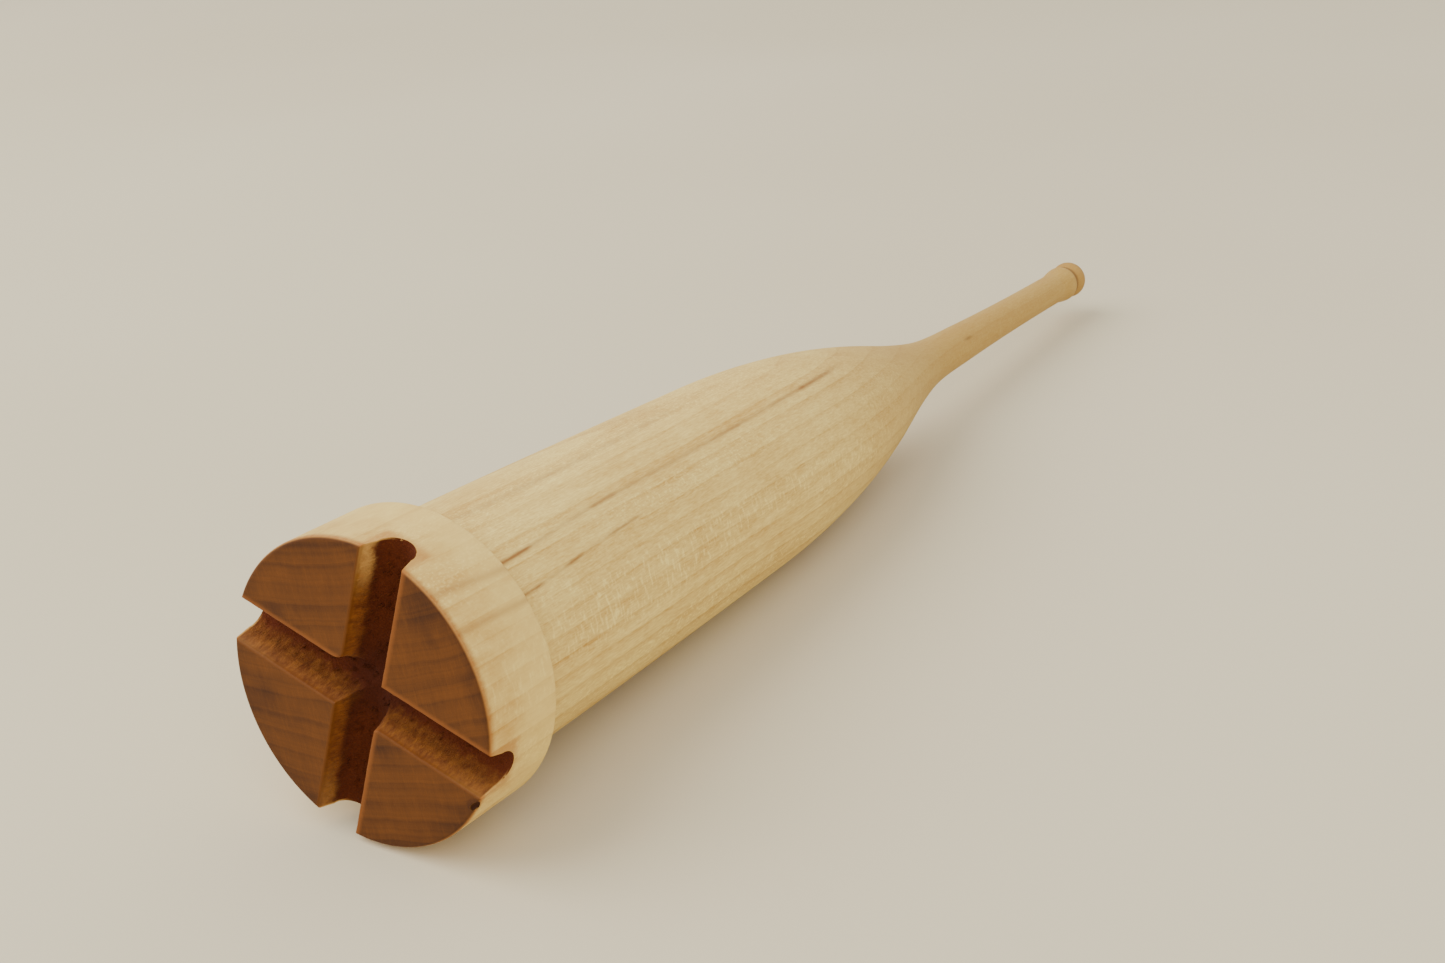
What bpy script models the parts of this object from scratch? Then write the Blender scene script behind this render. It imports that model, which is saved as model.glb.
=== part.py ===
"""One-piece turned wooden mallet, lying at rest: metres, +Z up, the working face towards -X.

The mallet is a single billet. Along its axis, from the working end, it has a flat face crossed by
two slots, a short raised collar, a long slowly tapering body, a shoulder that sweeps down into a
thin handle, and a bead, a groove and a button at the handle's end.
"""

import math

import bmesh
import bpy
from mathutils import Vector

# Driving dimensions, in metres. "From the face" is measured along the turning axis.
COLLAR_RADIUS = 0.0253
COLLAR_LENGTH = 0.0160
FACE_EDGE_ROUND = 0.0006
COLLAR_BACK_ROUND = 0.0004
BODY_RADIUS = 0.02155
STEP_COVE = 0.0005

# The body, shoulder and handle: (from the face, radius, slope of the outline).
SWEPT_STATIONS = (
    (0.0165, BODY_RADIUS, -0.0075),
    (0.1020, 0.01997, -0.023),
    (0.1330, 0.01742, -0.137),
    (0.1660, 0.01066, -0.266),
    (0.1855, 0.00618, -0.176),
    (0.2095, 0.00463, -0.032),
    (0.2650, 0.00386, 0.0),
)
POINTS_PER_SWEEP = 7

# The handle's end: a bead, a narrow groove and a domed button.
BEAD_FROM_FACE = 0.2718
BEAD_RADIUS = 0.00450
GROOVE_FROM_FACE = 0.2738
GROOVE_RADIUS = 0.00390
BUTTON_FROM_FACE = 0.2770
BUTTON_RADIUS = 0.00462
OVERALL_LENGTH = 0.2810
POINTS_PER_WAVE = 4
POINTS_PER_DOME = 5

# Two equal slots cross at right angles on the face and run out through the collar.
SLOT_MOUTH = 0.0078
SLOT_DEPTH = 0.0062
SLOT_FLOOR_RADIUS = 0.0032
SLOT_OVERRUN = 0.002
SLOT_LEAN = math.radians(17.6)
FLOOR_ARC_POINTS = 9

# Facets round the axis. Their flats, not their corners, touch the true turned surface.
FACETS = 48
HALF_FACET = math.pi / FACETS
MERGE = 0.00001
SHARP_EDGE = math.radians(30)


def clear_scene():
    for obj in list(bpy.data.objects):
        bpy.data.objects.remove(obj, do_unlink=True)


def new_collection(name):
    collection = bpy.data.collections.new(name)
    bpy.context.scene.collection.children.link(collection)
    return collection


def quarter_round(centre, radius, start, points=3):
    """Points of a quarter circle in (from the face, radius), turning backwards from angle start."""
    step = math.pi / 2 / (points - 1)
    angles = [start - step * i for i in range(points)]
    return [(centre[0] + radius * math.cos(a), centre[1] + radius * math.sin(a)) for a in angles]


def swept_outline():
    """A cubic through the stations, each with its own slope."""
    outline = []
    for (x0, r0, m0), (x1, r1, m1) in zip(SWEPT_STATIONS, SWEPT_STATIONS[1:]):
        length = x1 - x0
        for i in range(POINTS_PER_SWEEP):
            t = i / POINTS_PER_SWEEP
            radius = (2 * t**3 - 3 * t**2 + 1) * r0 + (t**3 - 2 * t**2 + t) * length * m0
            radius += (3 * t**2 - 2 * t**3) * r1 + (t**3 - t**2) * length * m1
            outline.append((x0 + length * t, radius))
    return outline


def wave(start, end):
    """Half a cosine from one (from the face, radius) to the next, level at both ends."""
    outline = []
    for i in range(POINTS_PER_WAVE):
        t = i / POINTS_PER_WAVE
        rise = (1 - math.cos(math.pi * t)) / 2
        outline.append((start[0] + (end[0] - start[0]) * t, start[1] + (end[1] - start[1]) * rise))
    return outline


def button_dome():
    """Quarter of an ellipse, from the button's widest ring to its tip on the axis."""
    depth = OVERALL_LENGTH - BUTTON_FROM_FACE
    outline = []
    for i in range(POINTS_PER_DOME):
        angle = math.pi / 2 * i / POINTS_PER_DOME
        outline.append((BUTTON_FROM_FACE + depth * math.sin(angle), BUTTON_RADIUS * math.cos(angle)))
    return outline + [(OVERALL_LENGTH, 0.0)]


def mallet_outline():
    """The whole outline in (from the face, radius), from the face's centre to the button's tip."""
    edge_centre = (FACE_EDGE_ROUND, COLLAR_RADIUS - FACE_EDGE_ROUND)
    back_centre = (COLLAR_LENGTH - COLLAR_BACK_ROUND, COLLAR_RADIUS - COLLAR_BACK_ROUND)
    handle_end = SWEPT_STATIONS[-1][:2]
    bead = (BEAD_FROM_FACE, BEAD_RADIUS)
    groove = (GROOVE_FROM_FACE, GROOVE_RADIUS)
    button = (BUTTON_FROM_FACE, BUTTON_RADIUS)
    outline = [(0.0, 0.0)]
    outline += quarter_round(edge_centre, FACE_EDGE_ROUND, math.pi)
    outline += quarter_round(back_centre, COLLAR_BACK_ROUND, math.pi / 2)
    outline += [(COLLAR_LENGTH, BODY_RADIUS + STEP_COVE)]
    outline += swept_outline()
    outline += wave(handle_end, bead) + wave(bead, groove) + wave(groove, button)
    return outline + button_dome()


def turned_solid(name, outline, collection):
    """The outline turned about its own Z, the face at Z = 0, with true radii across the flats."""
    mesh = bpy.data.meshes.new(name)
    profile = bmesh.new()
    rings = [profile.verts.new((r / math.cos(HALF_FACET), 0.0, z)) for z, r in reversed(outline)]
    for above, below in zip(rings, rings[1:]):
        profile.edges.new((above, below))
    profile.to_mesh(mesh)
    profile.free()
    solid = bpy.data.objects.new(name, mesh)
    collection.objects.link(solid)
    screw = solid.modifiers.new("turn", "SCREW")
    screw.axis = "Z"
    screw.steps = FACETS
    screw.render_steps = FACETS
    screw.use_merge_vertices = True
    screw.merge_threshold = MERGE
    return solid


def slot_section():
    """Half a slot's outline as (across, from the face): a sloping wall, then the round floor."""
    floor_centre = SLOT_DEPTH - SLOT_FLOOR_RADIUS
    lean = math.atan2(SLOT_MOUTH / 2 - SLOT_FLOOR_RADIUS, floor_centre)
    above = (SLOT_MOUTH / 2 + SLOT_OVERRUN * math.tan(lean), -SLOT_OVERRUN)
    half = [above]
    for i in range(FLOOR_ARC_POINTS):
        angle = lean + (math.pi / 2 - lean) * i / (FLOOR_ARC_POINTS - 1)
        across = SLOT_FLOOR_RADIUS * math.cos(angle)
        half.append((across, floor_centre + SLOT_FLOOR_RADIUS * math.sin(angle)))
    return half + [(-across, depth) for across, depth in reversed(half[:-1])]


def slot_cutter(name, turn, collection):
    """A bar with the slot's section, along its own Z before it is laid across the face."""
    curve = bpy.data.curves.new(name, "CURVE")
    curve.dimensions = "2D"
    curve.fill_mode = "BOTH"
    curve.extrude = COLLAR_RADIUS + SLOT_OVERRUN
    section = slot_section()
    spline = curve.splines.new("POLY")
    spline.points.add(len(section) - 1)
    for point, (across, depth) in zip(spline.points, section):
        point.co = (across, depth, 0.0, 1.0)
    spline.use_cyclic_u = True
    outline = bpy.data.objects.new(name + "_outline", curve)
    collection.objects.link(outline)
    bpy.context.view_layer.update()
    graph = bpy.context.evaluated_depsgraph_get()
    mesh = bpy.data.meshes.new_from_object(outline.evaluated_get(graph))
    bpy.data.objects.remove(outline, do_unlink=True)
    shape = bmesh.new()
    shape.from_mesh(mesh)
    bmesh.ops.remove_doubles(shape, verts=shape.verts, dist=MERGE)
    bmesh.ops.recalc_face_normals(shape, faces=shape.faces)
    shape.to_mesh(mesh)
    shape.free()
    cutter = bpy.data.objects.new(name, mesh)
    collection.objects.link(cutter)
    # The bar's length goes to the turning axis's X, and its depth to the turning axis.
    cutter.rotation_mode = "XYZ"
    cutter.rotation_euler = (math.pi / 2, 0.0, turn + math.pi / 2)
    cutter.hide_render = True
    cutter.display_type = "WIRE"
    return cutter


def cut(solid, cutter):
    boolean = solid.modifiers.new(cutter.name, "BOOLEAN")
    boolean.operation = "DIFFERENCE"
    boolean.solver = "EXACT"
    boolean.object = cutter


def resting_tilt(outline):
    """How far the axis dips towards the handle when the collar's back edge and the body touch."""
    edge = COLLAR_LENGTH - COLLAR_BACK_ROUND
    body = [(x, r) for x, r in outline if x > COLLAR_LENGTH]
    return min(math.atan2(COLLAR_RADIUS - r, x - edge) for x, r in body)


def maple():
    material = bpy.data.materials.new("maple")
    material.use_nodes = True
    shader = material.node_tree.nodes["Principled BSDF"]
    shader.inputs["Base Color"].default_value = (0.55, 0.40, 0.22, 1.0)
    shader.inputs["Roughness"].default_value = 0.55
    shader.inputs["Metallic"].default_value = 0.0
    return material


def keep_shape(solid):
    """Makes the modifiers' result the object's own mesh, smooth but for its real edges."""
    bpy.context.view_layer.update()
    graph = bpy.context.evaluated_depsgraph_get()
    solid.data = bpy.data.meshes.new_from_object(solid.evaluated_get(graph))
    solid.modifiers.clear()
    solid.data.shade_smooth()
    solid.data.set_sharp_from_angle(angle=SHARP_EDGE)


def set_down(solid, lie):
    """Moves the lying mallet so that its box stands on the origin, centred in X and Y."""
    bpy.context.view_layer.update()
    corners = [solid.matrix_world @ vertex.co for vertex in solid.data.vertices]
    low = Vector([min(corner[i] for corner in corners) for i in range(3)])
    high = Vector([max(corner[i] for corner in corners) for i in range(3)])
    middle = (low + high) / 2
    lie.location -= Vector((middle.x, middle.y, low.z))


def build():
    clear_scene()
    parts = new_collection("carving_mallet")
    cutters = new_collection("cutters")
    outline = mallet_outline()
    mallet = turned_solid("mallet", outline, parts)
    slots = [
        slot_cutter("slot_upright", SLOT_LEAN, cutters),
        slot_cutter("slot_level", SLOT_LEAN + math.pi / 2, cutters),
    ]
    lie = bpy.data.objects.new("lie", None)
    parts.objects.link(lie)
    lie.rotation_euler = (0.0, math.pi / 2 + resting_tilt(outline), 0.0)
    mallet.parent = lie
    mallet.rotation_euler = (0.0, 0.0, HALF_FACET)
    for slot in slots:
        slot.parent = lie
        cut(mallet, slot)
    keep_shape(mallet)
    mallet.data.materials.clear()
    mallet.data.materials.append(maple())
    set_down(mallet, lie)


build()
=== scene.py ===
import math

import bmesh
import bpy
import numpy as np
from mathutils import Matrix, Vector, noise


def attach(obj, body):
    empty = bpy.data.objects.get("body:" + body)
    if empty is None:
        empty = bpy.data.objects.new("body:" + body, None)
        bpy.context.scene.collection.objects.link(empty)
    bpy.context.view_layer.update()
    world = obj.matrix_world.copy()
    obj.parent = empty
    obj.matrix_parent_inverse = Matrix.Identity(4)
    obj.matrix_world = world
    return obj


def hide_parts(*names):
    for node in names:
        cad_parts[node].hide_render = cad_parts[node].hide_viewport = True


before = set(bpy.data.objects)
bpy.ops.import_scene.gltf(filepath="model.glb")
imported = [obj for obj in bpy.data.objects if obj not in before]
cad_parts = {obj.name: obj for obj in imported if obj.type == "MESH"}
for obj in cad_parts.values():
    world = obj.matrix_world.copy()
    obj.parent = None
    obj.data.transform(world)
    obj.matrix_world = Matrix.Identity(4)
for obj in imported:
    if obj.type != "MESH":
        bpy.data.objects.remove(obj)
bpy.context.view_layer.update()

# The mallet is modelled about its turning axis: local X runs from the working face to the button,
# local Z is up in the plane of the face, and local Y is positive on the far side.
# Lengths in millimetres are written mm(...). Other lengths are in metres, and angles in radians.
# The wood's own material works in millimetres throughout.

MM_PER_M = 1000.0


def mm(length):
    return length / MM_PER_M


# How the mallet lies: the centre of its face, and how far its axis dips towards the handle.
FACE_CENTRE = Vector((-0.139512, 0.0, 0.026186))
AXIS_DIP = math.radians(3.4195)
LIE = Matrix.Translation(FACE_CENTRE) @ Matrix.Rotation(AXIS_DIP, 4, "Y")

# The turned outline, as in the CAD: the collar, the body, and the swept shoulder and handle.
COLLAR_RADIUS = mm(25.299)
COLLAR_LENGTH = mm(16.0)
FACE_EDGE_ROUND = mm(0.6)
COLLAR_BACK_ROUND = mm(0.4)
BODY_RADIUS = mm(21.55)
STEP_COVE = mm(0.5)
SWEPT_STATIONS = (  # from the face, radius, slope of the outline
    (mm(16.5), BODY_RADIUS, -0.0075),
    (mm(102.0), mm(19.97), -0.023),
    (mm(133.0), mm(17.42), -0.137),
    (mm(166.0), mm(10.66), -0.266),
    (mm(185.5), mm(6.18), -0.176),
    (mm(209.5), mm(4.63), -0.032),
    (mm(265.0), mm(3.86), 0.0),
)
BEAD = (mm(271.8), mm(4.50))
GROOVE = (mm(273.8), mm(3.90))
BUTTON = (mm(277.0), mm(4.62))
OVERALL_LENGTH = mm(280.99)
SEGMENTS = 320

# The two slots across the face.
SLOT_DEPTH = mm(6.2)
SLOT_MOUTH = mm(7.8)
SLOT_FLOOR_RADIUS = mm(3.2)
SLOT_LEAN = math.radians(17.6)
ARRIS_ROUND = mm(0.40)
CUTTER_OVERRUN = mm(2.0)
ARRIS_STEPS = 6
WALL_STEPS = 10
FLOOR_STEPS = 20
SLOT_STATIONS = 190

# How the slots were left by the saw and gouge. A wall wanders over WANDER_LENGTH and has ridges
# RIDGE_LENGTH apart. The tearing begins at TEAR_START below the face and is full TEAR_RAMP deeper,
# and it is calmer within EXIT_CALM of the rim. Torn fibres stand up below FIBRE_START. The walls
# are torn sideways from WALL_TEAR_START off the slot's middle.
WALL_WANDER = mm(0.10)
WALL_RIDGES = mm(0.04)
WALL_TEAR = mm(0.16)
FLOOR_TEAR = mm(0.34)
FIBRE_HEIGHT = mm(1.1)
FIBRE_SHARE = 0.06
WANDER_LENGTH = mm(9.0)
RIDGE_LENGTH = mm(1.4)
RIDGE_DEPTH = mm(6.0)
TEAR_START = mm(1.2)
TEAR_RAMP = mm(2.4)
EXIT_CALM = mm(5.0)
FIBRE_START = mm(3.4)
WALL_TEAR_START = mm(1.0)

# The two corners between the slots that are worn round, from the face down to CORNER_DEPTH. The
# rounding tightens over the last CORNER_FADE.
CORNER_DEPTH = mm(4.6)
CORNER_FADE = mm(2.5)
CORNER_STEPS = 12
UPPER_CORNER_ROUND = mm(1.9)
LOWER_CORNER_ROUND = mm(0.9)

# The chip out of the rim beside a slot's mouth: its place, and its half sizes into the face, along
# the chip and across it.
CHIP_Y, CHIP_Z = -mm(21.3), -mm(12.9)
CHIP_DEPTH = mm(0.9)
CHIP_HALF_LENGTH = mm(1.25)
CHIP_HALF_WIDTH = mm(0.55)
CHIP_UNEVENNESS = 0.25
CHIP_BUMP_LENGTH = mm(0.7)
CHIP_RINGS = 8
CHIP_POINTS_A_RING = 14

MERGE_DISTANCE = mm(0.0001)
FLAT_FACE_LIMIT = mm(0.0005)
SHARP_ANGLE = math.radians(40)


# ---------------------------------------------------------------- the turned shape


def quarter_round(centre, radius, start, points=7):
    """A quarter circle in (from the face, radius), turning backwards from the angle start."""
    angles = [start - math.pi / 2 * i / (points - 1) for i in range(points)]
    return [(centre[0] + radius * math.cos(a), centre[1] + radius * math.sin(a)) for a in angles]


def swept_outline(points=20):
    """A cubic through the stations, each with its own slope."""
    outline = []
    for (x0, r0, m0), (x1, r1, m1) in zip(SWEPT_STATIONS, SWEPT_STATIONS[1:]):
        length = x1 - x0
        for i in range(points):
            t = i / points
            radius = (2 * t**3 - 3 * t**2 + 1) * r0 + (t**3 - 2 * t**2 + t) * length * m0
            radius += (3 * t**2 - 2 * t**3) * r1 + (t**3 - t**2) * length * m1
            outline.append((x0 + length * t, radius))
    return outline


def wave(start, end, points=12):
    """Half a cosine from one (from the face, radius) to the next, level at both ends."""
    outline = []
    for i in range(points):
        t = i / points
        rise = (1 - math.cos(math.pi * t)) / 2
        outline.append((start[0] + (end[0] - start[0]) * t, start[1] + (end[1] - start[1]) * rise))
    return outline


def button_dome(points=14):
    """Quarter of an ellipse, from the button's widest ring to its tip on the axis."""
    depth = OVERALL_LENGTH - BUTTON[0]
    angles = [math.pi / 2 * i / points for i in range(points)]
    dome = [(BUTTON[0] + depth * math.sin(a), BUTTON[1] * math.cos(a)) for a in angles]
    return dome + [(OVERALL_LENGTH, 0.0)]


def collar_wall(points=26):
    """The collar's straight side, between its two rounded edges."""
    first = FACE_EDGE_ROUND
    last = COLLAR_LENGTH - COLLAR_BACK_ROUND
    return [(first + (last - first) * i / points, COLLAR_RADIUS) for i in range(1, points)]


def mallet_outline():
    """The whole outline in (from the face, radius), from the face's centre to the button's tip."""
    edge_centre = (FACE_EDGE_ROUND, COLLAR_RADIUS - FACE_EDGE_ROUND)
    back_centre = (COLLAR_LENGTH - COLLAR_BACK_ROUND, COLLAR_RADIUS - COLLAR_BACK_ROUND)
    outline = [(0.0, 0.0)]
    outline += quarter_round(edge_centre, FACE_EDGE_ROUND, math.pi)
    outline += collar_wall()
    outline += quarter_round(back_centre, COLLAR_BACK_ROUND, math.pi / 2, 5)
    outline += [(COLLAR_LENGTH, BODY_RADIUS + STEP_COVE)]
    outline += swept_outline()
    outline += wave(SWEPT_STATIONS[-1][:2], BEAD) + wave(BEAD, GROOVE) + wave(GROOVE, BUTTON)
    return outline + button_dome()


def new_object(name, points, faces):
    mesh = bpy.data.meshes.new(name)
    mesh.from_pydata([tuple(p) for p in points], [], faces)
    mesh.validate()
    obj = bpy.data.objects.new(name, mesh)
    bpy.context.scene.collection.objects.link(obj)
    return obj


def tube_faces(rings, count):
    """Quads between neighbouring rings of count points each."""
    faces = []
    for i in range(rings - 1):
        a, b = i * count, (i + 1) * count
        for j in range(count):
            k = (j + 1) % count
            faces.append((a + j, b + j, b + k, a + k))
    return faces


def capped_tube_faces(rings, count):
    """A tube of rings, closed at both ends."""
    first = tuple(range(count))
    last = tuple(reversed(range((rings - 1) * count, rings * count)))
    return [first, last] + tube_faces(rings, count)


def turned_object(name, outline):
    """The outline turned about local X. The outline starts and ends on the axis."""
    turns = 2 * math.pi * np.arange(SEGMENTS) / SEGMENTS
    rings = outline[1:-1]
    points = [(x, r * math.cos(t), r * math.sin(t)) for x, r in rings for t in turns]
    faces = [tuple(reversed(range(SEGMENTS)))]
    for i in range(len(rings) - 1):
        for j in range(SEGMENTS):
            k = (j + 1) % SEGMENTS
            a, b = i * SEGMENTS, (i + 1) * SEGMENTS
            faces.append((a + j, a + k, b + k, b + j))
    tip = len(points)
    points.append((outline[-1][0], 0.0, 0.0))
    last = (len(rings) - 1) * SEGMENTS
    faces += [(last + j, last + (j + 1) % SEGMENTS, tip) for j in range(SEGMENTS)]
    return new_object(name, points, faces)


# ---------------------------------------------------------------- the slots


def slot_half_section():
    """Half a slot as (across, from the face): rounded arris, sloping wall, round floor."""
    centre_depth = SLOT_DEPTH - SLOT_FLOOR_RADIUS
    mouth = SLOT_MOUTH / 2
    half = [(mouth + ARRIS_ROUND + mm(2.0), -mm(0.4))]  # clear of the face
    for i in range(1, ARRIS_STEPS + 1):
        angle = math.pi / 2 * i / ARRIS_STEPS
        across = mouth + ARRIS_ROUND * (1 - math.sin(angle))
        half.append((across, ARRIS_ROUND * (1 - math.cos(angle))))
    for i in range(1, WALL_STEPS):
        t = i / WALL_STEPS
        across = mouth + (SLOT_FLOOR_RADIUS - mouth) * t
        half.append((across, ARRIS_ROUND + (centre_depth - ARRIS_ROUND) * t))
    for i in range(FLOOR_STEPS + 1):
        angle = math.pi / 2 * i / FLOOR_STEPS
        across = SLOT_FLOOR_RADIUS * math.cos(angle)
        half.append((across, centre_depth + SLOT_FLOOR_RADIUS * math.sin(angle)))
    return half


def torn(point, seed):
    """Roughness of chopped end grain, about -1 to 1: lumps with a fibrous fuzz on them."""
    p = point / mm(1.0)
    lumps = noise.fractal(Vector((p.x * 0.15, p.y * 0.45 + seed, p.z * 0.45)), 0.8, 2.0, 3)
    fuzz = noise.fractal(Vector((p.x * 0.35, p.y * 1.7, p.z * 1.7 + seed)), 0.7, 2.1, 2)
    return 0.55 * lumps + 0.45 * fuzz


def slot_cutter(name, turn, seed):
    """A bar with the slot's section. Its walls wander a little and its floor is torn."""
    half = slot_half_section()
    section = half + [(-across, depth) for across, depth in reversed(half[:-1])]
    reach = COLLAR_RADIUS + CUTTER_OVERRUN
    stations = np.linspace(-reach, reach, SLOT_STATIONS)
    along = Vector((0.0, math.cos(turn), math.sin(turn)))
    aside = Vector((0.0, -math.sin(turn), math.cos(turn)))
    picks = np.random.RandomState(int(seed))
    chance = picks.random_sample((len(stations), len(section)))
    height = picks.random_sample((len(stations), len(section)))
    points = []
    for i, v in enumerate(stations):
        for j, (across, depth) in enumerate(section):
            side = math.copysign(1.0, across)
            place = along * v + aside * across + Vector((depth, 0.0, 0.0))
            wander = noise.noise(Vector((v / WANDER_LENGTH, side * 7.0 + seed, 0.3)))
            ridge_place = (v / RIDGE_LENGTH, side * 5.0 + seed, depth / RIDGE_DEPTH)
            ridge = noise.noise(Vector(ridge_place))
            low = min(max((depth - TEAR_START) / TEAR_RAMP, 0.0), 1.0)
            low *= min(max((COLLAR_RADIUS - abs(v)) / EXIT_CALM, 0.25), 1.0)
            tear = FLOOR_TEAR * low * torn(place, seed)
            if depth > FIBRE_START and chance[i, j] < FIBRE_SHARE:
                tear -= FIBRE_HEIGHT * low * height[i, j] ** 2
            widen = WALL_WANDER * wander + WALL_RIDGES * ridge
            if abs(across) > WALL_TEAR_START:
                widen += WALL_TEAR * low * torn(place * 1.3, seed + 4.0)
            across += side * widen
            points.append(along * v + aside * across + Vector((depth + tear, 0.0, 0.0)))
    return new_object(name, points, capped_tube_faces(len(stations), len(section)))


def corner_cutter(name, side_along, side_aside, rounding):
    """Rounds the corner that one lobe of the face has between the two slots."""
    mouth = SLOT_MOUTH / 2
    section = [p for p in slot_half_section() if 0.0 < p[1] < CORNER_DEPTH]
    section = [(mouth + ARRIS_ROUND, -mm(0.2))] + section
    along = Vector((0.0, math.cos(SLOT_LEAN), math.sin(SLOT_LEAN)))
    aside = Vector((0.0, -math.sin(SLOT_LEAN), math.cos(SLOT_LEAN)))
    inner = SLOT_MOUTH / 4
    points = []
    for across, depth in section:
        fade = min(max((CORNER_DEPTH - depth) / CORNER_FADE, 0.04), 1.0)
        bend = (rounding + mouth - across) * fade
        centre = across + bend
        ring = [(inner, inner), (centre, inner), (centre, across)]
        for i in range(1, CORNER_STEPS):
            angle = math.pi / 2 * i / CORNER_STEPS
            ring.append((centre - bend * math.sin(angle), centre - bend * math.cos(angle)))
        ring += [(across, centre), (inner, centre)]
        for u, v in ring:
            place = along * (side_along * u) + aside * (side_aside * v)
            points.append(place + Vector((depth, 0.0, 0.0)))
    return new_object(name, points, capped_tube_faces(len(section), len(points) // len(section)))


def pit_cutter():
    """An uneven egg shape that takes a small chip out of the rim, beside the level slot's near end."""
    long_way = Vector((0.0, -0.707, 0.707))
    short_way = long_way.cross(Vector((1.0, 0.0, 0.0)))
    centre = Vector((0.0, CHIP_Y, CHIP_Z))
    points = []
    for i in range(CHIP_RINGS + 1):
        polar = math.pi * i / CHIP_RINGS
        for j in range(CHIP_POINTS_A_RING):
            turn = 2 * math.pi * j / CHIP_POINTS_A_RING
            local = Vector((CHIP_DEPTH * math.cos(polar), 0.0, 0.0))
            local += long_way * (CHIP_HALF_LENGTH * math.sin(polar) * math.cos(turn))
            local += short_way * (CHIP_HALF_WIDTH * math.sin(polar) * math.sin(turn))
            local *= 1.0 + CHIP_UNEVENNESS * noise.noise(local / CHIP_BUMP_LENGTH)
            points.append(centre + local)
    return new_object("pit", points, tube_faces(CHIP_RINGS + 1, CHIP_POINTS_A_RING))


def face_outwards(obj):
    """Merges doubled points and turns every face outwards."""
    shape = bmesh.new()
    shape.from_mesh(obj.data)
    bmesh.ops.remove_doubles(shape, verts=shape.verts, dist=MERGE_DISTANCE)
    bmesh.ops.recalc_face_normals(shape, faces=shape.faces)
    shape.to_mesh(obj.data)
    shape.free()


def bake_modifiers(obj):
    """Turns an object's modifiers into its mesh."""
    bpy.context.view_layer.update()
    graph = bpy.context.evaluated_depsgraph_get()
    obj.data = bpy.data.meshes.new_from_object(obj.evaluated_get(graph))
    obj.modifiers.clear()


def subtract(solid, cutters):
    """Cuts the cutters out of a solid, and removes them."""
    for cutter in cutters:
        boolean = solid.modifiers.new(cutter.name, "BOOLEAN")
        boolean.operation = "DIFFERENCE"
        boolean.solver = "EXACT"
        boolean.object = cutter
    bake_modifiers(solid)
    for cutter in cutters:
        bpy.data.objects.remove(cutter, do_unlink=True)


# ---------------------------------------------------------------- materials


def colour(red, green, blue):
    """The linear colour that shaders take, from display values of 0 to 255."""
    linear = [c / 255 for c in (red, green, blue)]
    linear = [c / 12.92 if c <= 0.04045 else ((c + 0.055) / 1.055) ** 2.4 for c in linear]
    return (*linear, 1.0)


class Graph:
    """One material's node tree. A value is a socket of another node, a number or a tuple."""

    def __init__(self, name):
        self.material = bpy.data.materials.new(name)
        self.material.use_nodes = True
        self.tree = self.material.node_tree
        self.shader = self.tree.nodes["Principled BSDF"]

    def feed(self, value, socket):
        if isinstance(value, bpy.types.NodeSocket):
            self.tree.links.new(value, socket)
        else:
            socket.default_value = value

    def node(self, kind, inputs=None, **settings):
        node = self.tree.nodes.new("ShaderNode" + kind)
        for key, value in settings.items():
            setattr(node, key, value)
        for key, value in (inputs or {}).items():
            self.feed(value, node.inputs[key])
        return node

    def math(self, operation, *values, clamp=False):
        node = self.node("Math", operation=operation, use_clamp=clamp)
        for socket, value in zip(node.inputs, values):
            self.feed(value, socket)
        return node.outputs[0]

    def add(self, *values):
        total = values[0]
        for value in values[1:]:
            total = self.math("ADD", total, value)
        return total

    def times(self, *values):
        total = values[0]
        for value in values[1:]:
            total = self.math("MULTIPLY", total, value)
        return total

    def span(self, value, low, high, start=0.0, end=1.0):
        """start below low, end above high, and a smooth change between them."""
        inputs = {
            "Value": value,
            "From Min": low,
            "From Max": high,
            "To Min": start,
            "To Max": end,
        }
        return self.node("MapRange", inputs, interpolation_type="SMOOTHSTEP").outputs[0]

    def stretch(self, coords, factors):
        return self.node("VectorMath", {0: coords, 1: factors}, operation="MULTIPLY").outputs[0]

    def noise(self, coords, size, detail=2.0, roughness=0.5, shift=0.0):
        """Noise of about -1 to 1, whose features are size (x, y, z) long."""
        coords_and_shift = {0: coords, 1: (shift, shift, shift)}
        moved = self.node("VectorMath", coords_and_shift, operation="ADD").outputs[0]
        placed = self.stretch(moved, tuple(1 / s for s in size))
        inputs = {"Vector": placed, "Scale": 1.0, "Detail": detail, "Roughness": roughness}
        value = self.node("TexNoise", inputs).outputs[0]
        return self.math("MULTIPLY_ADD", value, 2.0, -1.0)

    def mix(self, factor, first, second):
        """first where factor is 0, second where it is 1."""
        node = self.node("Mix", data_type="RGBA", blend_type="MIX")
        self.feed(factor, node.inputs[0])
        self.feed(first, node.inputs[6])
        self.feed(second, node.inputs[7])
        return node.outputs[2]

    def bump(self, height):
        """height is in millimetres."""
        inputs = {"Height": height, "Strength": 1.0, "Distance": mm(1.0)}
        return self.node("Bump", inputs).outputs[0]


# The wood, in millimetres: where the tree's centre lay across the axis, its growth rings, the step
# behind the collar and how softly the colours change there, a small knot on the handle, and
# smudges on the face as (far, up, size).
PITH = (23.0, 107.5)
PITH_DISTANCE = math.hypot(*PITH)
RING_SPACING = 3.2
GRAIN_LEAN = math.radians(12.0)
STEP = COLLAR_LENGTH * MM_PER_M
STEP_BLUR = 0.4
KNOT = (205.7, -3.54, 2.44)
FACE_SMUDGES = ((-14.3, 16.0, 3.2), (-4.2, -7.8, 2.6), (20.0, -5.0, 3.0), (15.5, 9.5, 2.4))

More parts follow.
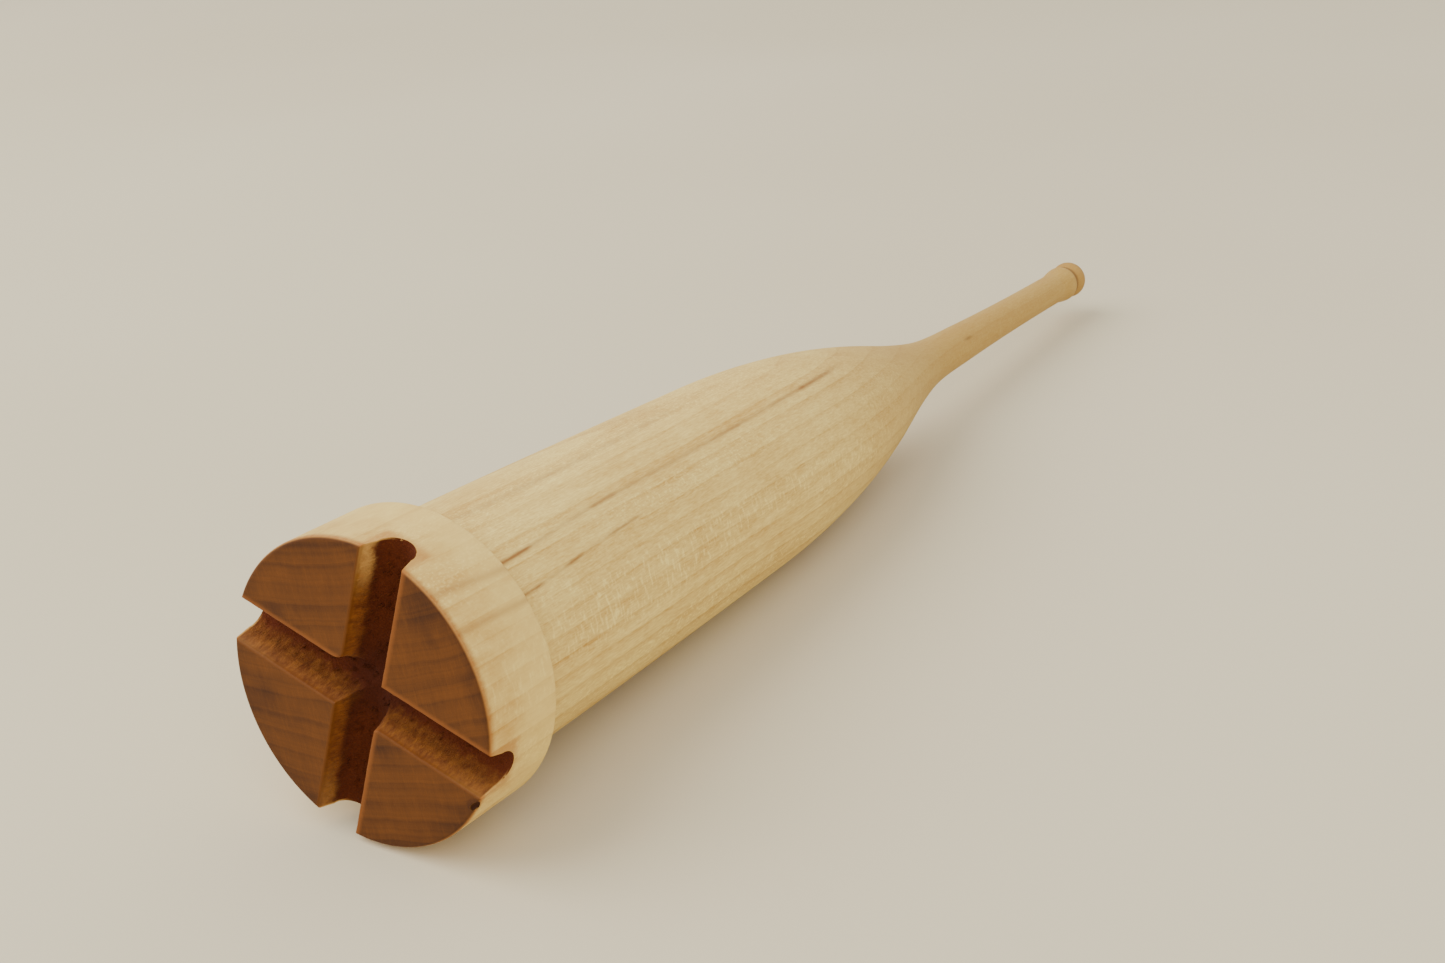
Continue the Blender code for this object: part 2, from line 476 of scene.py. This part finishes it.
# The wood's colours, with two painted shades: behind the collar's step and round the groove.
LIGHT_FIBRES, DARK_FIBRES = colour(243, 218, 132), colour(184, 134, 54)
STREAK_BROWN = colour(134, 76, 32)
# Painted shade: the body darkens just behind the collar's step.
SHADE_BEHIND_STEP = colour(190, 132, 60)
COLLAR_EDGE = colour(245, 218, 130)
HANDLED_WOOD = colour(171, 131, 60)
BUTTON_WOOD = colour(158, 108, 50)
KNOT_BROWN = colour(106, 62, 26)
# Painted shade: a dark band round the groove before the button.
GROOVE_SHADE = colour(104, 66, 30)
BARE_END_GRAIN = colour(166, 116, 52)
RIM_STAIN, EXIT_STAIN = colour(150, 80, 20), colour(168, 98, 34)
LIGHT_FACE, DARK_FACE = colour(105, 59, 15), colour(54, 25, 6)
SLOT_FLOOR, CROSSING_FLOOR = colour(86, 34, 10), colour(56, 18, 5)
FLOOR_TUFTS = colour(154, 88, 36)
DARK_WALL, LIGHT_WALL = colour(76, 32, 7), colour(142, 82, 28)
BARE_WALL = colour(206, 158, 86)
DARK_TORN, LIGHT_TORN = colour(80, 34, 7), colour(144, 90, 36)
LOWER_ARRIS, UPPER_ARRIS = colour(104, 58, 12), colour(142, 82, 32)
# Painted shade in the chip's pit.
CHIP_SHADE = colour(56, 24, 8)


class Maple(Graph):
    """Pale turned maple, oiled dark where the working end's end grain drank the oil."""

    def __init__(self, name):
        super().__init__(name)
        self.set_place()
        self.set_rings()
        self.set_fibres()
        outer = self.stained_side(self.bare_wood())
        inner = self.chip(self.slots(self.oiled_face()))
        self.finish(outer, inner)

    def root_sum(self, *values):
        """The square root of the sum of the values' squares."""
        return self.math("SQRT", self.add(*[self.times(value, value) for value in values]))

    def set_place(self):
        """The mallet's own coordinates, and places measured in them."""
        texture = self.node("TexCoord")
        lie = {
            "Vector": texture.outputs["Object"],
            "Location": FACE_CENTRE,
            "Rotation": (0.0, AXIS_DIP, 0.0),
        }
        own_place = self.node("Mapping", lie, vector_type="TEXTURE").outputs[0]
        self.place = self.stretch(own_place, (MM_PER_M, MM_PER_M, MM_PER_M))
        self.x, self.y, self.z = self.node("SeparateXYZ", {0: self.place}).outputs
        axis = LIE.to_3x3() @ Vector((1.0, 0.0, 0.0))
        facing = {0: texture.outputs["Normal"], 1: axis}
        normal_x = self.node("VectorMath", facing, operation="DOT_PRODUCT").outputs["Value"]
        self.end_grain = self.span(self.math("ABSOLUTE", normal_x), 0.25, 0.95)
        self.radius = self.root_sum(self.y, self.z)
        self.on_body = self.span(self.x, STEP - STEP_BLUR, STEP + STEP_BLUR)
        self.on_collar = self.span(self.x, STEP - STEP_BLUR, STEP + STEP_BLUR, 1.0, 0.0)
        self.across_level = self.turned_up(SLOT_LEAN)
        self.across_upright = self.turned_up(SLOT_LEAN + math.pi / 2)
        wicking = self.noise(self.place, (1.2, 0.7, 0.7), 3.0, 0.7, shift=13.0)
        self.ragged = self.times(wicking, 0.45)

    def turned_up(self, turn):
        """How far a point lies upwards from the axis, after both are turned back by an angle."""
        return self.add(self.times(self.y, -math.sin(turn)), self.times(self.z, math.cos(turn)))

    def between(self, start, end):
        """1 from one distance behind the face to the next, with soft ends."""
        begins = self.span(self.x, start - 1.5, start + 1.5)
        return self.times(begins, self.span(self.x, end - 1.5, end + 1.5, 1.0, 0.0))

    def set_rings(self):
        """Growth rings: shells round the pith, wavering along the grain."""
        place = self.place
        lean_sin, lean_cos = math.sin(GRAIN_LEAN), math.cos(GRAIN_LEAN)
        self.across_rings = self.add(self.times(self.y, lean_sin), self.times(self.z, lean_cos))
        self.along_rings = self.add(self.times(self.y, lean_cos), self.times(self.z, -lean_sin))
        from_pith_y = self.math("SUBTRACT", self.y, PITH[0])
        from_pith_z = self.math("SUBTRACT", self.z, PITH[1])
        shell = self.math("SUBTRACT", PITH_DISTANCE, self.root_sum(from_pith_y, from_pith_z))
        waver = self.times(self.noise(place, (90.0, 16.0, 16.0), 1.0), 1.1)
        tremble = self.times(self.noise(place, (14.0, 3.0, 3.0), 2.0), 0.16)
        self.ring_place = self.add(shell, waver, tremble)
        self.ring_line_place = self.node("CombineXYZ", {0: self.ring_place}).outputs[0]
        uneven = self.times(self.noise(self.ring_line_place, (7.0, 1.0, 1.0), 1.0, shift=3.0), 0.9)
        ring_number = self.math("DIVIDE", self.add(self.ring_place, uneven, 200.0), RING_SPACING)
        in_ring = self.math("FRACT", ring_number)
        line_end = self.span(in_ring, 0.95, 1.0, 1.0, 0.0)
        soft_end = self.span(in_ring, 0.85, 1.0, 1.0, 0.0)
        self.late_wood = self.times(self.math("POWER", in_ring, 7.0), line_end)
        self.soft_late_wood = self.times(self.math("POWER", in_ring, 3.0), soft_end)
        strength = self.noise(self.ring_line_place, (4.3, 1.0, 1.0), 1.0, shift=11.0)
        strength = self.span(strength, -0.5, 0.6, 0.25, 1.0)
        patches = self.noise(place, (38.0, 9.0, 9.0), 2.0, shift=5.0)
        self.patchy = self.span(patches, -0.5, 0.5, 0.35, 1.0)
        self.ring_line = self.times(self.late_wood, strength, self.patchy)
        self.ring_blush = self.times(in_ring, in_ring, strength)

    def set_fibres(self):
        """Fine fibres along the grain, and rays: thin ribbons that stand across the rings."""
        place = self.place
        smooth = self.add(1.0, self.times(self.on_collar, -0.55))
        self.fibres = self.times(self.noise(place, (4.5, 0.34, 0.34), 3.0, 0.65), smooth)
        self.pores = self.times(self.noise(place, (1.6, 0.24, 0.24), 2.0, 0.6, shift=9.0), smooth)
        self.threads = self.times(self.noise(place, (38.0, 1.3, 1.3), 2.0, 0.6, shift=7.0), smooth)
        self.fuzz = self.noise(place, (1.2, 0.28, 0.28), 3.0, 0.7, shift=23.0)
        frame_axes = {0: self.x, 1: self.along_rings, 2: self.across_rings}
        self.ray_frame = self.node("CombineXYZ", frame_axes).outputs[0]
        ribbons = self.noise(self.ray_frame, (0.60, 0.30, 1.9), 1.0, shift=4.0)
        self.rays = self.span(ribbons, 0.0, 0.45)

    def streak(self, at, width, strength, shift):
        """A brown mineral streak in one ring: broken dashes, broader and softer on the collar."""
        wide = self.add(width, self.times(self.on_collar, 0.30))
        apart = self.math("DIVIDE", self.math("SUBTRACT", self.ring_place, at), wide)
        band = self.math("EXPONENT", self.times(apart, apart, -1.0))
        dashes = self.noise(self.place, (9.0, 4.0, 4.0), 3.0, 0.7, shift=shift)
        dashes = self.span(dashes, -0.40, 0.25, 0.55, 1.0)
        on_body = self.times(dashes, self.on_body)
        on_collar = self.times(self.on_collar, self.span(self.x, 4.0, 15.8, 0.45, 0.85))
        near_side = self.span(self.y, 2.0, -6.0)
        return self.times(band, strength, self.add(on_body, on_collar), near_side)

    def streaks(self):
        """Three streaks on the near side. The first two drift across the rings along their length."""
        x = self.x
        upper_at = self.add(
            13.2, self.span(x, 2.0, STEP, 0.0, -1.0), self.span(x, STEP, 50.0, 0.0, 0.8)
        )
        upper_strength = self.add(
            self.span(x, 131.0, 140.0, 0.40, 0.0),
            self.times(self.between(-9.0, 27.0), 0.50),
            self.times(self.between(44.0, 51.0), 0.36),
            self.times(self.between(80.0, 112.0), 0.10),
            self.times(self.between(116.0, 131.0), 0.45),
        )
        lower_at = self.add(
            7.2, self.span(x, 2.0, STEP, 0.0, -0.35), self.span(x, STEP, 54.0, 0.0, 1.65)
        )
        lower_strength = self.add(
            self.span(x, 50.0, 57.0, 0.28, 0.0),
            self.times(self.between(-9.0, 24.0), 0.62),
            self.times(self.between(31.0, 35.5), 0.62),
            self.times(self.between(43.0, 52.0), 0.32),
        )
        faint_strength = self.times(
            self.span(x, STEP, 24.0), self.span(x, 78.0, 94.0, 1.0, 0.0), 0.5
        )
        return self.add(
            self.streak(upper_at, 0.34, upper_strength, 2.0),
            self.streak(lower_at, 0.26, lower_strength, 8.0),
            self.streak(19.6, 0.40, faint_strength, 15.0),
        )

    def bare_wood(self):
        """The unoiled wood, from its palest to its darkest fibres, with painted shade behind the
        collar's step and round the groove.
        """
        x = self.x
        cloud = self.noise(self.place, (24.0, 9.0, 9.0), 2.0, shift=21.0)
        mottle = self.noise(self.place, (4.2, 2.2, 2.2), 3.0, 0.6, shift=61.0)
        ray_zone = self.span(self.noise(self.place, (60.0, 10.0, 7.0), 1.0, shift=41.0), -0.3, 0.3)
        tone = self.add(
            0.34,
            self.times(cloud, 0.26),
            self.times(mottle, self.add(0.20, self.times(self.on_collar, 0.24))),
            self.times(self.threads, 0.18),
            self.times(self.fibres, 0.26),
            self.times(self.pores, 0.42),
            self.times(self.ring_blush, 0.26),
            self.times(self.ring_line, self.span(x, 100.0, 150.0, 0.42, 0.30)),
            self.times(self.rays, ray_zone, -0.34),
        )
        wood = self.mix(self.math("ADD", tone, 0.0, clamp=True), LIGHT_FIBRES, DARK_FIBRES)
        wood = self.mix(self.math("MINIMUM", self.streaks(), 0.85), wood, STREAK_BROWN)
        # Painted shade: the body is darker just behind the collar's step, fading out over 10 mm.
        wood = self.mix(self.span(x, STEP - 1.0, STEP + 10.0, 0.20, 0.0), wood, SHADE_BEHIND_STEP)
        collar_back = self.times(self.span(x, 4.0, 13.0), self.span(x, 15.5, 16.2, 0.40, 0.0))
        wood = self.mix(collar_back, wood, COLLAR_EDGE)
        wood = self.mix(self.span(x, 100.0, 200.0, 0.0, 0.74), wood, HANDLED_WOOD)
        wood = self.mix(self.span(x, 272.5, 274.0, 0.0, 0.35), wood, BUTTON_WOOD)
        place_and_knot = {0: self.place, 1: KNOT}
        apart = self.node("VectorMath", place_and_knot, operation="SUBTRACT").outputs[0]
        apart = self.stretch(apart, (0.25, 1.5, 1.5))
        from_knot = self.node("VectorMath", {0: apart}, operation="LENGTH").outputs["Value"]
        wood = self.mix(self.span(from_knot, 0.2, 1.1, 0.85, 0.0), wood, KNOT_BROWN)
        from_groove = self.math("ABSOLUTE", self.math("SUBTRACT", x, GROOVE[0] * MM_PER_M))
        # Painted shade: darkens the wood in a band round the groove between the bead and the button.
        wood = self.mix(self.span(from_groove, 0.4, 1.1, 0.60, 0.0), wood, GROOVE_SHADE)
        return self.mix(self.times(self.end_grain, 0.26), wood, BARE_END_GRAIN)

    def stained_side(self, wood):
        """Oil wicks a little way along the grain from the face, and round the slots' exits."""
        frayed_x = self.add(self.x, self.ragged)
        soak = self.span(frayed_x, 0.0, 1.6, 1.0, 0.0)
        wood = self.mix(self.times(soak, 0.85), wood, RIM_STAIN)
        from_level = self.math("ABSOLUTE", self.across_level)
        from_upright = self.math("ABSOLUTE", self.across_upright)
        from_slot = self.add(self.math("MINIMUM", from_level, from_upright), self.ragged)
        beside_exits = self.span(from_slot, 3.9, 5.0, 1.0, 0.0)
        halo = self.times(beside_exits, self.span(frayed_x, 5.4, 7.6, 0.5, 0.0))
        return self.mix(halo, wood, EXIT_STAIN)

    def oiled_face(self):
        """Oiled end grain of the face, with a few darker smudges and a darker rim."""
        face_cloud = self.noise(self.place, (9.0, 7.0, 4.0), 2.0, shift=31.0)
        ring_dark = self.span(self.patchy, 0.35, 1.0, 0.10, 0.26)
        fine_rings = self.noise(self.ring_line_place, (0.65, 1.0, 1.0), 2.0, shift=51.0)
        cross_marks = self.noise(self.ray_frame, (2.0, 0.8, 4.0), 2.0, 0.6, shift=71.0)
        specks = self.noise(self.place, (1.0, 0.2, 0.2), 2.0, 0.7, shift=17.0)
        tone = self.add(
            0.30,
            self.times(face_cloud, 0.24),
            self.times(self.ring_blush, 0.20),
            self.times(self.soft_late_wood, ring_dark),
            self.times(fine_rings, 0.30),
            self.times(self.rays, -0.10),
            self.times(cross_marks, 0.16),
            self.times(specks, 0.14),
        )
        for far, up, size in FACE_SMUDGES:
            apart_y = self.math("DIVIDE", self.math("SUBTRACT", self.y, far), size)
            apart_z = self.math("DIVIDE", self.math("SUBTRACT", self.z, up), size)
            apart = self.add(self.times(apart_y, apart_y), self.times(apart_z, apart_z))
            tone = self.add(tone, self.times(self.math("EXPONENT", self.times(apart, -1.0)), 0.38))
        rim = self.span(self.add(self.radius, face_cloud), 21.5, 25.0)
        tone = self.add(tone, self.times(rim, 0.20))
        return self.mix(self.math("ADD", tone, 0.0, clamp=True), LIGHT_FACE, DARK_FACE)

    def floor_depth(self, across):
        """How far a slot's round floor lies below its circle's centre."""
        floor_radius = SLOT_FLOOR_RADIUS * MM_PER_M
        inside = self.math("SUBTRACT", floor_radius**2, self.times(across, across))
        return self.math("SQRT", self.math("MAXIMUM", inside, 0.0))

    def slot_floor(self):
        """Dark torn end grain. Fibres that stand up from it are lighter."""
        level, upright = self.floor_depth(self.across_level), self.floor_depth(self.across_upright)
        floor_centre = (SLOT_DEPTH - SLOT_FLOOR_RADIUS) * MM_PER_M
        surface = self.add(self.math("MAXIMUM", level, upright), floor_centre)
        stands_up = self.math("SUBTRACT", surface, self.x)
        fuzzy = self.span(self.fuzz, -0.2, 0.9, 0.0, 0.45)
        tone = self.add(fuzzy, self.span(stands_up, 0.15, 1.1, 0.0, 0.55))
        floor = self.mix(self.times(tone, 0.55), SLOT_FLOOR, FLOOR_TUFTS)
        return self.mix(self.span(self.radius, 3.0, 10.0, 0.55, 0.0), floor, CROSSING_FLOOR)

    def slot_wall(self, blotches):
        """Long-grain walls, paler towards the slots' exits."""
        grain = self.noise(self.place, (5.0, 0.32, 0.32), 3.0, 0.7, shift=27.0)
        tone = self.add(self.times(grain, 0.55), self.times(blotches, 0.8))
        wall = self.mix(self.span(tone, -0.7, 0.7), DARK_WALL, LIGHT_WALL)
        outward = self.span(self.add(self.radius, self.times(self.ragged, 4.0)), 14.5, 24.5)
        upward = self.span(self.across_rings, -22.0, 22.0, 0.22, 0.9)
        exposed = self.times(upward, self.span(self.y, 12.0, 22.0, 1.0, 0.25))
        return self.mix(self.times(outward, exposed), wall, BARE_WALL)

    def torn_side(self, across, other, low, high, shift):
        """Where torn brown wood covers one side of a slot, with a ragged border on the dark floor."""
        tufts = self.noise(self.place, (2.4, 1.4, 1.4), 4.0, 0.75, shift=shift)
        border = self.span(self.add(across, self.times(tufts, 1.3)), low, high, 1.0, 0.0)
        clear = self.span(self.math("ABSOLUTE", other), 2.2, 4.4)
        in_slot = self.times(self.span(across, -5.0, -4.3), self.span(self.x, 0.35, 1.0))
        return self.times(border, clear, in_slot)

    def arrises(self, side, width):
        """The rounded arrises on one side of both slots."""
        middle = -SLOT_MOUTH * MM_PER_M / 2 - 0.15
        lines = []
        for across in (self.across_level, self.across_upright):
            beside = self.math("ABSOLUTE", self.add(self.times(across, side), middle))
            beside = self.add(beside, self.times(self.ragged, 0.35))
            lines.append(self.span(beside, 0.15, width, 1.0, 0.0))
        return self.times(self.math("MAXIMUM", *lines), self.span(self.x, 0.4, 1.2, 1.0, 0.0))

    def slots(self, face):
        """The face with the slots' walls, floors, torn sides and arrises."""
        blotches = self.noise(self.place, (2.6, 1.1, 1.1), 3.0, 0.7, shift=37.0)
        lumps = self.noise(self.place, (3.5, 2.6, 2.6), 3.0, 0.65, shift=91.0)
        frayed_x = self.add(
            self.x,
            self.times(self.ragged, 1.8),
            self.times(self.fuzz, 0.6),
            self.times(lumps, 1.9),
        )
        on_floor = self.span(frayed_x, 1.7, 3.9)
        cut_end = self.mix(self.span(self.x, 0.8, 2.2), face, self.slot_floor())
        on_floor = self.math("MAXIMUM", self.end_grain, on_floor)
        wood = self.mix(on_floor, self.slot_wall(blotches), cut_end)
        torn_tone = self.add(self.times(self.fuzz, 0.35), blotches)
        torn_wood = self.mix(self.span(torn_tone, -0.8, 0.9), DARK_TORN, LIGHT_TORN)
        level, upright = self.across_level, self.across_upright
        torn_level = self.torn_side(level, upright, -3.3, -1.9, 81.0)
        torn_upright = self.torn_side(upright, level, -4.3, -3.1, 83.0)
        wood = self.mix(self.times(torn_level, 0.85), wood, torn_wood)
        wood = self.mix(self.times(torn_upright, 0.60), wood, torn_wood)
        wood = self.mix(self.times(self.arrises(-1, 0.35), 0.60), wood, LOWER_ARRIS)
        return self.mix(self.times(self.arrises(1, 1.15), 0.60), wood, UPPER_ARRIS)

    def chip(self, wood):
        """Painted shade in the chip's pit, darker deeper in."""
        chip_y = self.math("SUBTRACT", self.y, CHIP_Y * MM_PER_M)
        chip_z = self.math("SUBTRACT", self.z, CHIP_Z * MM_PER_M)
        in_chip = self.span(self.root_sum(chip_y, chip_z), 1.1, 1.6, 1.0, 0.0)
        strength = self.times(in_chip, self.span(self.x, 0.05, 0.25, 0.4, 0.85))
        # Painted shade: the pit darkens from 0.4 at its rim to 0.85 deeper in.
        return self.mix(strength, wood, CHIP_SHADE)

    def finish(self, outer, inner):
        """Joins the bare outside and the oiled inside, and sets the gloss and the relief."""
        at_end = self.span(self.x, 9.0, 9.5, 1.0, 0.0)
        at_surface = self.span(self.radius, 24.9, 25.2)
        outside = self.math("MAXIMUM", at_surface, self.span(self.x, 9.0, 9.5))
        within = self.math("SUBTRACT", 1.0, outside)
        oiled = self.math("MAXIMUM", within, self.times(self.end_grain, at_end))
        self.feed(self.mix(oiled, outer, inner), self.shader.inputs["Base Color"])
        self.shader.inputs["Specular IOR Level"].default_value = 0.22
        deep = self.span(self.x, 0.5, 3.0)
        dull_oil = self.times(oiled, self.add(0.08, self.times(deep, 0.30)))
        roughness = self.add(0.56, self.times(self.fibres, 0.05), dull_oil)
        self.feed(roughness, self.shader.inputs["Roughness"])
        relief = self.add(
            self.times(self.fibres, 0.010),
            self.times(self.pores, 0.008),
            self.times(self.late_wood, -0.008),
            self.times(oiled, self.add(0.01, self.times(deep, 0.16)), self.fuzz),
        )
        self.feed(self.bump(relief), self.shader.inputs["Normal"])


def pale_floor():
    """A plain matt floor with a faint unevenness of tone."""
    g = Graph("pale_floor")
    place = g.node("TexCoord").outputs["Object"]
    cloud = g.span(g.noise(place, (0.35, 0.35, 0.35), 2.0), -0.7, 0.7)
    tone = g.mix(cloud, colour(212, 202, 175), colour(219, 210, 185))
    g.feed(tone, g.shader.inputs["Base Color"])
    g.shader.inputs["Roughness"].default_value = 0.95
    g.shader.inputs["Specular IOR Level"].default_value = 0.1
    return g.material


# ---------------------------------------------------------------- the mallet


def build_mallet():
    mallet = turned_object("mallet_wood", mallet_outline())
    cutters = [
        slot_cutter("upright", math.pi / 2 + SLOT_LEAN, 1.0),
        slot_cutter("level", SLOT_LEAN, 2.0),
        corner_cutter("corner_upper_far", 1, 1, UPPER_CORNER_ROUND),
        corner_cutter("corner_lower_near", -1, -1, LOWER_CORNER_ROUND),
        pit_cutter(),
    ]
    for obj in [mallet] + cutters:
        face_outwards(obj)
    subtract(mallet, cutters)
    mallet.data.shade_smooth()
    mallet.data.set_sharp_from_angle(angle=SHARP_ANGLE)
    for polygon in mallet.data.polygons:  # the working face stays flat
        if all(mallet.data.vertices[i].co.x < FLAT_FACE_LIMIT for i in polygon.vertices):
            polygon.use_smooth = False
    mallet.data.transform(LIE)
    mallet.data.materials.clear()
    mallet.data.materials.append(Maple("maple").material)
    return mallet


mallet = build_mallet()
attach(mallet, "root")
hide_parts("mallet")


# ---------------------------------------------------------------- floor, light and camera

FLOOR_REACH = 3.0
KEY_PLACE, KEY_SIZE, KEY_POWER, KEY_TINT = (-0.55, 0.85, 1.15), 1.7, 24.0, (1.0, 0.975, 0.91)
FILL_PLACE, FILL_SIZE, FILL_POWER, FILL_TINT = (-1.1, -0.9, 1.0), 1.6, 12.0, (1.0, 0.96, 0.90)
ROOM_COLOUR = (1.0, 0.960, 0.89, 1.0)
ROOM_STRENGTH = 0.95
CAMERA_PLACE = Vector((-0.31099, -0.18150, 0.16166))
CAMERA_FORWARD = Vector((0.7661, 0.5070, -0.3954))
CAMERA_RIGHT = Vector((0.5284, -0.8470, -0.0616))
CAMERA_LENS = 46.09


def build_floor():
    signs = ((-1, -1), (1, -1), (1, 1), (-1, 1))
    corners = [(FLOOR_REACH * u, FLOOR_REACH * v, 0.0) for u, v in signs]
    floor = new_object("floor", corners, [(0, 1, 2, 3)])
    floor.data.materials.append(pale_floor())


def soft_light(name, place, size, power, tint):
    """A round area light that faces the origin."""
    data = bpy.data.lights.new(name, "AREA")
    data.shape = "DISK"
    data.size = size
    data.energy = power
    data.color = tint
    light = bpy.data.objects.new(name, data)
    bpy.context.scene.collection.objects.link(light)
    light.location = place
    light.rotation_euler = (-Vector(place)).to_track_quat("-Z", "Y").to_euler()


def build_light():
    soft_light("key", KEY_PLACE, KEY_SIZE, KEY_POWER, KEY_TINT)
    soft_light("fill", FILL_PLACE, FILL_SIZE, FILL_POWER, FILL_TINT)
    world = bpy.data.worlds.new("room")
    bpy.context.scene.world = world
    world.use_nodes = True
    background = world.node_tree.nodes["Background"]
    background.inputs["Color"].default_value = ROOM_COLOUR
    background.inputs["Strength"].default_value = ROOM_STRENGTH


def build_camera():
    data = bpy.data.cameras.new("camera")
    data.sensor_width = 36.0
    data.lens = CAMERA_LENS
    data.clip_start = 0.01
    camera = bpy.data.objects.new("camera", data)
    bpy.context.scene.collection.objects.link(camera)
    back = -CAMERA_FORWARD.normalized()
    up = back.cross(CAMERA_RIGHT).normalized()
    right = up.cross(back)
    turn = Matrix((right, up, back)).transposed().to_4x4()
    camera.matrix_world = Matrix.Translation(CAMERA_PLACE) @ turn
    bpy.context.scene.camera = camera


build_floor()
build_light()
build_camera()
